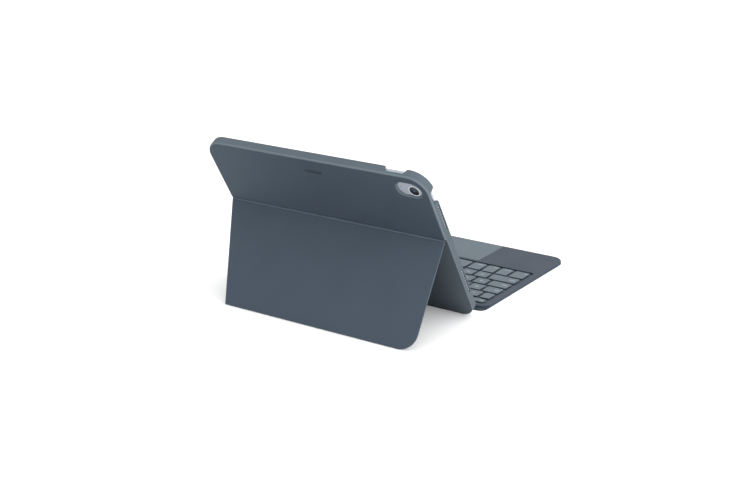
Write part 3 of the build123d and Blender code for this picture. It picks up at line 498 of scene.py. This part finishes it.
def lens_glass(centre):
    """Coated lens: dark rings round a painted blue reflection of its coating."""
    g = Graph("lens_glass")
    radius = g.distance(g.coordinates(), centre)
    rings = g.math("SINE", g.math("MULTIPLY", radius, math.tau / LENS_RING_PITCH))
    dark = g.mix(g.spread(rings, -1.0, 1.0), linear("0a0b0d"), linear("15181c"))
    # painted reflection: a blue glint of the coating in the middle of the lens
    blue_glint = g.spread(radius, *LENS_GLINT, 1.0, 0.0)
    return g.finish(
        Base_Color=g.paint(dark, "2c4f7c", blue_glint),
        Roughness=0.12,
        Specular_IOR_Level=0.35,
        Coat_Weight=0.15,
        Coat_Roughness=0.02,
        Coat_Tint=(0.75, 0.85, 1.0, 1.0),
    )


INK_WEAR = 0.5 * MM


def legend_ink():
    """Pale key printing, rubbed thin here and there."""
    g = Graph("legend_ink")
    wear = g.noise(INK_WEAR)
    return g.finish(
        Base_Color=g.mix(g.spread(wear, 0.3, 0.7), linear("92a3ad"), linear("a0b1bb")),
        Roughness=0.5,
    )


FIELD_MARGIN = Vector((1, 1, 0)) * MM
KEY_FIELD = (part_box("key_plate")[0] - FIELD_MARGIN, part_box("key_plate")[1] + FIELD_MARGIN)
# The third colour of each moulded material is laid along its edges as wear and as a painted highlight,
# and in its dust specks.
MATERIALS = {
    "rim": case_rim(),
    "back_leather": soft_touch(
        "back_leather",
        "3b4651",
        "37424d",
        "4a5661",
        grain=0.6 * MM,
        roughness=0.66,
        # painted light: the back skin lightens towards +X
        painted_light_across=("434f5a", 10 * MM, 115 * MM),
    ),
    "mark_leather": soft_touch("mark_leather", "2c343c", "293139", "363f49"),
    "stand_leather": soft_touch(
        "stand_leather", "404b57", "3e4955", "5b6874", grain=0.6 * MM, roughness=0.66
    ),
    "stand_core": soft_touch("stand_core", "525f6a", "4d5a65", "66737e"),
    "deck_laminate": soft_touch(
        "deck_laminate",
        "424953",
        "3d444e",
        "6f7a85",
        grain=0.5 * MM,
        # painted shade on the deck's upright sides and on the walls of the key well
        sides="323c48",
        hollow=(*KEY_FIELD, "3f4a55"),
    ),
    "sheet_laminate": soft_touch("sheet_laminate", "333d49", "2e3843", "47525f", grain=0.5 * MM),
    "key_plastic": soft_touch(
        "key_plastic",
        "656f77",
        "606a72",
        "7d8990",
        grain=0.25 * MM,
        relief=0.012 * MM,
        edge_radius=0.3 * MM,
        # painted shade on the upright sides of the caps
        sides="4a5661",
    ),
    "key_well": soft_touch("key_well", "46515c", "424d58", "5a6670"),
    "trackpad": soft_touch(
        "trackpad", "5d6971", "58646c", "76838b", grain=0.2 * MM, relief=0.005 * MM, roughness=0.45
    ),
    "lining": woven("lining", "485058", "343b42"),
    "fold_fabric": woven("fold_fabric", "4b5562", "39434f", pitch=0.4 * MM),
    "aluminium": metal("aluminium", "b0b7c2", roughness=0.42, metallic=0.6),
    "lens_ring": metal("lens_ring", "e0e5ec", roughness=0.3, metallic=0.5),
    "steel": metal("steel", "8f9398", streak=6 * MM),
    "microphone_hole_shade": rubber("microphone_hole_shade", "17191b"),
    "rolled_plate": metal("rolled_plate", "7e8288", streak=14 * MM, grain=0.12 * MM),
    "plated_magnet": metal("plated_magnet", "6f7277", roughness=0.22),
    "gold": metal("gold", "d7ac5b", roughness=0.2),
    "battery_film": polished("battery_film", "17181a", roughness=0.3, coat=0.3),
    "display_panel": polished("display_panel", "101216"),
    "board": circuit("board", "0e3a2a", "2a6a4c"),
    "flex_circuit": circuit("flex_circuit", "3a2f1c", "8a6a34"),
    "dome_rubber": rubber("dome_rubber", "6c7074"),
    "link_plastic": soft_touch("link_plastic", "33373c", "2c3035", "4b5157", grain=0.3 * MM),
    "legend_ink": legend_ink(),
    "screen_glass": screen_glass(),
}
NODE_MATERIALS = {
    "case_shell": "rim",
    "back_skin": "back_leather",
    "pocket_lining": "lining",
    "hinge_leaves": "stand_core",
    "hinge_rivets": "steel",
    "case_magnets": "plated_magnet",
    "contact_pads": "gold",
    "kickstand_plate": "stand_core",
    "kickstand_outer_skin": "stand_leather",
    "kickstand_inner_skin": "stand_leather",
    "hinge_pins": "steel",
    "tablet_housing": "aluminium",
    "tablet_glass": "screen_glass",
    "tablet_display": "display_panel",
    "tablet_battery": "battery_film",
    "tablet_board": "board",
    "camera_ring": "lens_ring",
    "camera_lens": "display_panel",
    "volume_up": "aluminium",
    "volume_down": "aluminium",
    "top_button": "aluminium",
    "connector_bar": "sheet_laminate",
    "connector_magnets": "plated_magnet",
    "connector_pins": "gold",
    "spine_panel": "fold_fabric",
    "bottom_sheet": "sheet_laminate",
    "base_plate": "rolled_plate",
    "deck_frame": "deck_laminate",
    "key_circuit": "flex_circuit",
    "key_plate": "key_well",
    "rubber_domes": "dome_rubber",
    "scissor_links": "link_plastic",
    "controller_board": "board",
    "trackpad_switch": "link_plastic",
    "trackpad": "trackpad",
    "trackpad_board": "board",
}
for name, node in frame["nodes"].items():
    chosen = NODE_MATERIALS.get(name, "key_plastic")
    node.data.materials.clear()
    node.data.materials.append(MATERIALS[chosen])


# ---- mesh helpers --------------------------------------------------------------
SAME_PLACE = 0.001 * MM
SMOOTH_ANGLE = math.radians(35)


def piece(name, mesh, material, body=None):
    """Links a new visible piece, gives it its material and, unless it bends, its body."""
    obj = bpy.data.objects.new(name, mesh)
    bpy.context.scene.collection.objects.link(obj)
    mesh.materials.append(MATERIALS[material])
    if body:
        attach(obj, body)
    return obj


def finish_mesh(bm, name):
    """Turns a bmesh into a mesh with its gentler edges shaded smooth."""
    bmesh.ops.recalc_face_normals(bm, faces=bm.faces)
    for face in bm.faces:
        face.smooth = True
    for edge in bm.edges:
        edge.smooth = len(edge.link_faces) == 2 and edge.calc_face_angle() < SMOOTH_ANGLE
    mesh = bpy.data.meshes.new(name)
    bm.to_mesh(mesh)
    bm.free()
    return mesh


def revolved(name, centre, axis, profile, steps=64):
    """Closed solid of revolution; profile is (radius, height) from axis to axis."""
    axis = axis.normalized()
    side = axis.cross(ACROSS).normalized()
    bm = bmesh.new()
    rings = []
    for radius, height in profile:
        middle = centre + height * axis
        if radius == 0:
            rings.append([bm.verts.new(middle)])
            continue
        ring = []
        for step in range(steps):
            turn = math.tau * step / steps
            outward = math.cos(turn) * ACROSS + math.sin(turn) * side
            ring.append(bm.verts.new(middle + radius * outward))
        rings.append(ring)
    for lower, upper in zip(rings, rings[1:]):
        for step in range(steps):
            after = (step + 1) % steps
            corners = [
                lower[step % len(lower)],
                lower[after % len(lower)],
                upper[after % len(upper)],
                upper[step % len(upper)],
            ]
            bm.faces.new(list(dict.fromkeys(corners)))
    return finish_mesh(bm, name)


def prism(name, outline, thickness, bevel):
    """Closed prism from an outline of row-frame points and the vector to its bevelled far face."""
    bm = bmesh.new()
    base = bm.faces.new([bm.verts.new(point) for point in outline])
    grown = bmesh.ops.extrude_face_region(bm, geom=[base])
    top = [item for item in grown["geom"] if isinstance(item, bmesh.types.BMVert)]
    bmesh.ops.translate(bm, verts=top, vec=thickness)
    rim = [edge for edge in bm.edges if edge.verts[0] in top and edge.verts[1] in top]
    bmesh.ops.bevel(bm, geom=rim, offset=bevel, segments=3, affect="EDGES", profile=0.5)
    return finish_mesh(bm, name)


# ---- camera lens ---------------------------------------------------------------
LENS_THICKNESS = 1.95 * MM
# (share of the lens's radius, millimetres out from its face), from the rim to the middle
LENS_DOME = ((1, -0.08), (0.98, -0.02), (0.8, 0.01), (0.5, 0.03), (0.25, 0.045), (0, 0.05))


def camera_lens():
    """Domed front glass, standing for the plain lens block."""
    low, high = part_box("camera_lens")
    radius = (high.x - low.x) / 2
    outward = -SCREENWARD
    centre = (low + high) / 2 + LENS_THICKNESS / 2 * outward
    profile = [(0, -LENS_THICKNESS), (radius, -LENS_THICKNESS)]
    profile += [(share * radius, height * MM) for share, height in LENS_DOME]
    glass = revolved("camera_lens_glass", centre, outward, profile)
    MATERIALS["lens_glass"] = lens_glass(centre)
    lens = piece("camera_lens_glass", glass, "lens_glass", "tablet")
    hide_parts("camera_lens")


# ---- microphone hole, painted shade --------------------------------------------
MICROPHONE_X = -97.7 * MM
MICROPHONE_UP_CASE = 170.6 * MM
MICROPHONE_RADIUS = 0.58 * MM
MICROPHONE_DEPTH = 2.6 * MM
MICROPHONE_SIDE = 0.12 * MM
MICROPHONE_SHOULDER = 0.16 * MM
MICROPHONE_PROUD = 0.17 * MM


def microphone():
    """Small dark disc of painted shade in the microphone hole beside the camera."""
    centre = on_case(MICROPHONE_X, MICROPHONE_UP_CASE, MICROPHONE_DEPTH)
    profile = [
        (0, 0),
        (MICROPHONE_RADIUS, 0),
        (MICROPHONE_RADIUS, MICROPHONE_SIDE),
        (MICROPHONE_RADIUS / 2, MICROPHONE_SHOULDER),
        (0, MICROPHONE_PROUD),
    ]
    # painted shade: a dark disc where the microphone hole is
    mesh = revolved("microphone_hole_shade", centre, -SCREENWARD, profile, steps=24)
    piece("microphone_hole_shade", mesh, "microphone_hole_shade", "tablet")


# ---- plain raised mark on the back ---------------------------------------------
MARK_UP_CASE = 171 * MM
MARK_LENGTH = 20 * MM
MARK_HEIGHT = 3.0 * MM
MARK_PROUD = 0.14 * MM
MARK_BURIED = 0.02 * MM
MARK_BEVEL = 0.08 * MM
MARK_STEPS = 12


def back_mark():
    """A plain raised bar with round ends."""
    radius = MARK_HEIGHT / 2
    reach = MARK_LENGTH / 2 - radius
    outline = []
    for side in (1, -1):
        for step in range(MARK_STEPS + 1):
            turn = math.pi * (step / MARK_STEPS - 0.5)
            x = side * (reach + radius * math.cos(turn))
            up = MARK_UP_CASE + side * radius * math.sin(turn)
            outline.append(on_case(x, up, MARK_BURIED))
    mark = prism("back_mark", outline, -(MARK_PROUD + MARK_BURIED) * SCREENWARD, MARK_BEVEL)
    piece("back_mark", mark, "mark_leather", "case")


# ---- folding fabric between case and keyboard ----------------------------------
FABRIC_THICKNESS = 0.8 * MM
CREASE_THICKNESS = 0.55 * MM
CREASE_REACH = 1.1 * MM
CREASE_FADE = 1.4
FABRIC_COLUMNS = 52
FABRIC_BURIED = 0.5 * MM
BLEND_AT_BAR = 0.3 * MM


def bend_path(points, reach, steps=6):
    """A polyline with each inner corner rounded by a quadratic curve, and no point twice."""
    path = [points[0]]
    for before, corner, after in zip(points, points[1:], points[2:]):
        start = corner + (before - corner).normalized() * min(reach, (before - corner).length)
        end = corner + (after - corner).normalized() * min(reach, (after - corner).length)
        for step in range(steps + 1):
            t = step / steps
            path.append((1 - t) ** 2 * start + 2 * t * (1 - t) * corner + t * t * end)
    path.append(points[-1])
    steps_on = zip(path, path[1:])
    return path[:1] + [after for before, after in steps_on if (after - before).length > SAME_PLACE]


def fabric_strip(name, points, crease, half_width):
    """A closed fabric strip along a path in the YZ plane, thinner at its crease."""
    path = bend_path(points, CREASE_REACH)
    bm = bmesh.new()
    rows = []
    for index, point in enumerate(path):
        before = path[max(index - 1, 0)]
        after = path[min(index + 1, len(path) - 1)]
        normal = ACROSS.cross(after - before).normalized()
        away = min(1.0, (point - crease).length / (CREASE_FADE * CREASE_REACH))
        half = (CREASE_THICKNESS + (FABRIC_THICKNESS - CREASE_THICKNESS) * away * away) / 2
        rows.append([point + normal * half, point - normal * half])
    loop = [pair[0] for pair in rows] + [pair[1] for pair in reversed(rows)]
    grid = []
    for column in range(FABRIC_COLUMNS + 1):
        x = (2 * column / FABRIC_COLUMNS - 1) * half_width
        grid.append([bm.verts.new(place + x * ACROSS) for place in loop])
    around = len(grid[0])
    for left, right in zip(grid, grid[1:]):
        for index in range(around):
            after = (index + 1) % around
            bm.faces.new([left[index], left[after], right[after], right[index]])
    for cap in (grid[0], grid[-1]):
        for index in range(len(rows) - 1):
            bm.faces.new([cap[index], cap[index + 1], cap[around - 2 - index], cap[around - 1 - index]])
    return finish_mesh(bm, name)


def folding_fabric():
    """Two strips that meet on the spine, each bending across its own fold."""
    half_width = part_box("connector_bar")[1].x
    spine_middle = (FOLD_AT_CASE + FOLD_AT_DECK) / 2
    bar_end = FOLD_AT_CASE - (BLEND_AT_BAR + FABRIC_BURIED) * SCREENWARD
    tongue = Vector((0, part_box("bottom_sheet")[1].y - FABRIC_BURIED, FOLD_AT_DECK.z))
    at_case = fabric_strip(
        "fold_fabric_at_case", [bar_end, FOLD_AT_CASE, spine_middle], FOLD_AT_CASE, half_width
    )
    at_deck = fabric_strip(
        "fold_fabric_at_keyboard", [spine_middle, FOLD_AT_DECK, tongue], FOLD_AT_DECK, half_width
    )
    upper = piece("fold_fabric_at_case", at_case, "fold_fabric")
    lower = piece("fold_fabric_at_keyboard", at_deck, "fold_fabric")
    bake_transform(upper)
    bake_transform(lower)
    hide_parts("spine_panel")
    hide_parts("spine_panel")


# ---- key legends ---------------------------------------------------------------
LETTER_SIZE = 4.7 * MM
WORD_SIZE = 4.2 * MM
FUNCTION_SIZE = 3.0 * MM
LEGEND_PROUD = 0.015 * MM
LEGEND_BURIED = 0.03 * MM
LEGEND_BOLDER = 0.06 * MM
TEXT_WELD = 0.002 * MM
WORD_MARGIN = 1.7 * MM
LEGENDS = {
    "key_escape": ["esc"],
    "function_keys": [f"F{number}" for number in range(1, 13)] + ["lock"],
    "number_keys": list("`1234567890-="),
    "key_delete": ["delete"],
    "key_tab": ["tab"],
    "q_row_keys": list("QWERTYUIOP[]\\"),
    "key_caps_lock": ["caps"],
    "a_row_keys": list("ASDFGHJKL;'"),
    "key_return": ["return"],
    "key_shift_left": ["shift"],
    "z_row_keys": list("ZXCVBNM,./"),
    "key_shift_right": ["shift"],
    "key_function": ["fn"],
    "key_control": ["ctrl"],
    "key_option_left": ["alt"],
    "key_command_left": ["cmd"],
    "key_command_right": ["cmd"],
    "key_option_right": ["alt"],
}
FRONT_ROW = (
    "key_function",
    "key_control",
    "key_option_left",
    "key_command_left",
    "key_command_right",
    "key_option_right",
)
ARROWS = {"key_arrow_left": 180, "key_arrow_right": 0, "key_arrow_up": 90, "key_arrow_down": 270}
ARROW_RADIUS = 1.3 * MM


def key_boxes(node):
    """(lowest, highest) corner of each key in a node, from left to right."""
    bm = bmesh.new()
    bm.from_mesh(frame["nodes"][node].data)
    bmesh.ops.remove_doubles(bm, verts=bm.verts, dist=SAME_PLACE)
    waiting, boxes = set(bm.verts), []
    while waiting:
        island, reached = [], [waiting.pop()]
        while reached:
            vert = reached.pop()
            island.append(vert.co.copy())
            for edge in vert.link_edges:
                other = edge.other_vert(vert)
                if other in waiting:
                    waiting.remove(other)
                    reached.append(other)
        low = Vector([min(co[i] for co in island) for i in range(3)])
        high = Vector([max(co[i] for co in island) for i in range(3)])
        boxes.append((low, high))
    bm.free()
    return sorted(boxes, key=lambda box: box[0].x)


def text_place(node, words, low, high):
    """Where a legend sits on its key, and how it is aligned: words keep to the outer side."""
    middle = (low + high) / 2
    top = high.z + (LEGEND_PROUD - LEGEND_BURIED) / 2
    if len(words) == 1 or node == "function_keys":
        return Vector((middle.x, middle.y, top)), "CENTER", "CENTER"
    side = "LEFT" if middle.x < 0 else "RIGHT"
    x = low.x + WORD_MARGIN if side == "LEFT" else high.x - WORD_MARGIN
    if node in FRONT_ROW:
        return Vector((x, low.y + WORD_MARGIN, top)), side, "BOTTOM"
    return Vector((x, middle.y, top)), side, "CENTER"


def make_text(node, words, low, high):
    """A text object for one key's legend."""
    curve = bpy.data.curves.new("legend", "FONT")
    curve.body = words
    curve.size = LETTER_SIZE if len(words) == 1 else WORD_SIZE
    if node in ("function_keys", "key_escape"):
        curve.size = FUNCTION_SIZE
    curve.extrude = (LEGEND_PROUD + LEGEND_BURIED) / 2
    curve.offset = LEGEND_BOLDER
    curve.resolution_u = 2
    place, curve.align_x, curve.align_y = text_place(node, words, low, high)
    obj = bpy.data.objects.new("legend", curve)
    obj.location = place
    bpy.context.scene.collection.objects.link(obj)
    return obj


def arrow_head(bm, low, high, turn):
    """A triangle of legend on a key, pointing a number of degrees round from +X."""
    middle = (low + high) / 2
    angles = [math.radians(turn + corner) for corner in (0, 120, 240)]
    tips = [middle + ARROW_RADIUS * Vector((math.cos(angle), math.sin(angle), 0)) for angle in angles]
    lower = [bm.verts.new((tip.x, tip.y, high.z - LEGEND_BURIED)) for tip in tips]
    upper = [bm.verts.new((tip.x, tip.y, high.z + LEGEND_PROUD)) for tip in tips]
    bm.faces.new(lower[::-1])
    bm.faces.new(upper)
    for index in range(3):
        after = (index + 1) % 3
        bm.faces.new([lower[index], lower[after], upper[after], upper[index]])


def key_legends():
    """One thin printed piece per key body; letters, digits and plain words only."""
    texts = {}
    for node, words in LEGENDS.items():
        boxes = key_boxes(node)
        texts[node] = [make_text(node, word, low, high) for word, (low, high) in zip(words, boxes)]
    bpy.context.view_layer.update()
    graph = bpy.context.evaluated_depsgraph_get()
    for node, objects in texts.items():
        bm = bmesh.new()
        for obj in objects:
            mesh = obj.evaluated_get(graph).to_mesh()
            mesh.transform(obj.matrix_world)
            bm.from_mesh(mesh)
            obj.evaluated_get(graph).to_mesh_clear()
        bmesh.ops.remove_doubles(bm, verts=bm.verts, dist=TEXT_WELD)
        legend_piece(node, bm)
    for objects in texts.values():
        for obj in objects:
            curve = obj.data
            bpy.data.objects.remove(obj)
            bpy.data.curves.remove(curve)
    for node, turn in ARROWS.items():
        bm = bmesh.new()
        low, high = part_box(node)
        arrow_head(bm, low, high, turn)
        legend_piece(node, bm)


def legend_piece(node, bm):
    """The legends of one node's keys, riding on the body that its caps move with."""
    name = f"legend_{node}"
    piece(name, finish_mesh(bm, name), "legend_ink", f"{node}_cap")


camera_lens()
microphone()
back_mark()
folding_fabric()
key_legends()


# ---- floor, light and camera ---------------------------------------------------
FLOOR_SIZE = 8.0
FLOOR_GAP = 0.1 * MM
FLOOR_LIFT = 0.12
FLOOR_CLOUD = 0.5
FLOOR_SHADES = ((0.93, 0.93, 0.93, 1), (0.95, 0.95, 0.95, 1))


def floor():
    """A pale floor that drops out of the way when the keyboard hangs below its level."""
    bpy.ops.mesh.primitive_plane_add(size=FLOOR_SIZE)
    plane = bpy.context.object
    plane.name = "floor"
    g = Graph("floor_paint")
    cloud = g.spread(g.noise(FLOOR_CLOUD), 0.3, 0.7)
    seen = g.node("LightPath").outputs["Is Camera Ray"]
    paint = g.finish(
        Base_Color=g.mix(cloud, *FLOOR_SHADES),
        Roughness=0.8,
        Specular_IOR_Level=0.1,
        Emission_Color=(1, 1, 1, 1),
        Emission_Strength=g.math("MULTIPLY", seen, FLOOR_LIFT),
    )
    plane.data.materials.append(paint)
    drop = plane.driver_add("location", 2).driver
    for label, channel in (("high", "LOC_Z"), ("tilt", "ROT_X")):
        variable = drop.variables.new()
        variable.name = label
        variable.type = "TRANSFORMS"
        variable.targets[0].id = frame["bodies"]["deck"]
        variable.targets[0].transform_type = channel
        variable.targets[0].transform_space = "WORLD_SPACE"
    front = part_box("bottom_sheet")[0].y
    drop.expression = f"min(0, high + sin(tilt) * {front:.5f}) - {FLOOR_GAP}"


def area_light(name, place, target, size, power):
    """A round softbox aimed at a target."""
    data = bpy.data.lights.new(name, "AREA")
    data.shape = "DISK"
    data.size = size
    data.energy = power
    lamp = bpy.data.objects.new(name, data)
    lamp.location = place
    lamp.rotation_mode = "QUATERNION"
    lamp.rotation_quaternion = (Vector(target) - Vector(place)).to_track_quat("-Z", "Y")
    bpy.context.scene.collection.objects.link(lamp)


SKY_BASE = 0.4
SKY_LOBES = (((0, 0, 1), 1.0), ((-1, 0.15, 0.25), 0.85))
SIDE_PLACE = (-1.6, 0.35, 0.75)
SIDE_TARGET = (0, 0.06, 0.06)
SIDE_SIZE = 1.0
SIDE_POWER = 8.0


def studio():
    """A white room, brightest overhead and on the -X side; plain white where the camera sees it."""
    g = Graph("studio", "worlds", "Background")
    aim = g.node("TexCoord").outputs["Generated"]
    shade = SKY_BASE
    for direction, weight in SKY_LOBES:
        facing = g.math("MAXIMUM", g.along(aim, Vector(direction).normalized()), 0.0)
        shade = g.math("ADD", g.math("MULTIPLY", facing, weight), shade)
    seen = g.node("LightPath").outputs["Is Camera Ray"]
    white = (1.0, 1.0, 1.0, 1.0)
    bpy.context.scene.world = g.finish(Color=white, Strength=g.math("MAXIMUM", seen, shade))
    area_light("side_softbox", SIDE_PLACE, SIDE_TARGET, SIDE_SIZE, SIDE_POWER)


CAMERA_AZIMUTH = 214.2447
CAMERA_ELEVATION = 18.8979
CAMERA_ROLL = -0.1513
CAMERA_DISTANCE = 1.4144
CAMERA_AIM = Vector((0.003912, 0.084108, 0.037914))
CAMERA_LENS = 66.0097
CAMERA_SENSOR = 36
CAMERA_SEES = (0.05, 30)


def camera():
    """The photo's camera, held by its direction from the object, its roll and its distance."""
    data = bpy.data.cameras.new("camera")
    data.lens = CAMERA_LENS
    data.sensor_width = CAMERA_SENSOR
    data.clip_start, data.clip_end = CAMERA_SEES
    turn, rise = math.radians(CAMERA_AZIMUTH), math.radians(CAMERA_ELEVATION)
    back = Vector((math.sin(turn) * math.cos(rise), -math.cos(turn) * math.cos(rise), math.sin(rise)))
    upright = (-back).to_track_quat("-Z", "Y").to_matrix().to_4x4()
    roll = Matrix.Rotation(math.radians(CAMERA_ROLL), 4, "Z")
    obj = bpy.data.objects.new("camera", data)
    obj.matrix_world = Matrix.Translation(CAMERA_AIM + CAMERA_DISTANCE * back) @ upright @ roll
    bpy.context.scene.collection.objects.link(obj)
    bpy.context.scene.camera = obj


floor()
studio()
camera()
bpy.context.scene.view_settings.view_transform = "Standard"
